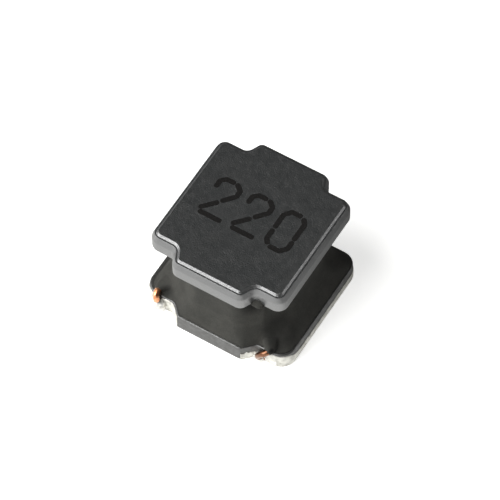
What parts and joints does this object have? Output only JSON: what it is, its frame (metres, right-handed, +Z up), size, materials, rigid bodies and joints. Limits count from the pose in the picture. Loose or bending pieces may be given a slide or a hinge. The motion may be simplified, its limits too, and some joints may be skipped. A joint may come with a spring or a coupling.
{
  "type": "chip inductor",
  "caption": "Surface-mount wire-wound inductor: square notched ferrite drum core, resin-coated winding and plated terminals under both sides of its base.",
  "frame": {"origin": "centre of the footprint, on the plane of the solder pads", "axes": "+Z up from the pads to the marked top face; -Y towards the front edge, where both ends of the wire come out; +X towards the right terminal"},
  "size_m": [0.006, 0.006, 0.0043],
  "materials": {
    "ferrite": "sintered nickel-zinc ferrite, dark grey, fine grained, satin",
    "copper_wire": "enamelled copper wire, glossy",
    "resin": "ferrite-filled epoxy, dark grey, satin, slightly uneven",
    "plating": "tin-plated silver paste, bright, slightly grainy",
    "solder": "tin solder, bright, lumpy"
  },
  "bodies": {
    "root": {"drum_core": "ferrite", "winding": "copper_wire", "resin_coating": "resin", "electrode_left": "plating", "electrode_right": "plating", "solder_left": "solder", "solder_right": "solder"}
  },
  "joints": []
}
